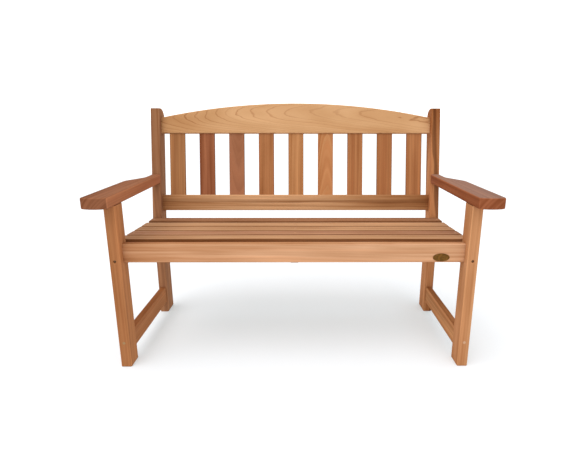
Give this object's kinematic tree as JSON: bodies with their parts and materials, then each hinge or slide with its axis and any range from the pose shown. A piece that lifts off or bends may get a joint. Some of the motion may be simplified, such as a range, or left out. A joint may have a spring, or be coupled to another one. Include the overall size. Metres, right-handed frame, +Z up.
{
  "type": "garden bench",
  "caption": "Slatted wooden bench for two with a gently arched crest rail, vertical back slats, wide flat arms, dished slatted seat and side stretchers.",
  "frame": {"origin": "on the floor under the middle of the bench's overall length and depth", "axes": "+X to the sitter's left along the bench's length (right in a view of its front), -Y out of the front, +Y towards the back, +Z up"},
  "size_m": [1.314, 0.655, 0.9049],
  "materials": {
    "cedar_golden": "planed and lightly sanded, unfinished, satin",
    "cedar_orange": "planed and lightly sanded, unfinished, satin",
    "cedar_red": "planed and lightly sanded, unfinished, satin",
    "cedar_plug": "flush-cut face-grain plugs, sanded",
    "hardwood_dowel": "turned, fluted dowel stock, unfinished",
    "dark_steel": "dark zinc-plated steel",
    "zinc_steel": "zinc-plated steel",
    "aged_brass": "dark aged brass, blank"
  },
  "bodies": {
    "root": {"apron_screws": "zinc_steel", "arm_dowels": "hardwood_dowel", "arm_left": "cedar_red", "arm_right": "cedar_red", "arm_screws": "zinc_steel", "back_post_left": "cedar_orange", "back_post_plugs": "cedar_plug", "back_post_right": "cedar_red", "back_seat_rail": "cedar_orange", "back_seat_rail_screws": "zinc_steel", "back_slat_1": "cedar_golden", "back_slat_2": "cedar_red", "back_slat_3": "cedar_orange", "back_slat_4": "cedar_orange", "back_slat_5": "cedar_golden", "back_slat_6": "cedar_golden", "back_slat_7": "cedar_red", "back_slat_8": "cedar_red", "back_slat_9": "cedar_orange", "badge": "aged_brass", "badge_pins": "aged_brass", "barrel_nuts": "dark_steel", "centre_seat_support": "cedar_orange", "centre_support_screws": "zinc_steel", "crest_rail": "cedar_golden", "crest_rail_screws": "zinc_steel", "front_apron": "cedar_golden", "front_leg_left": "cedar_orange", "front_leg_plugs": "cedar_plug", "front_leg_right": "cedar_golden", "lower_back_rail": "cedar_golden", "lower_rail_screws": "zinc_steel", "seat_rail_bolts": "dark_steel", "seat_slat_1": "cedar_golden", "seat_slat_2": "cedar_golden", "seat_slat_3": "cedar_golden", "seat_slat_4": "cedar_golden", "seat_slat_5": "cedar_golden", "seat_slat_plugs": "cedar_plug", "seat_slat_screws": "zinc_steel", "side_seat_rail_left": "cedar_orange", "side_seat_rail_right": "cedar_orange", "side_stretcher_left": "cedar_orange", "side_stretcher_right": "cedar_orange", "stretcher_screws": "zinc_steel"}
  },
  "joints": []
}
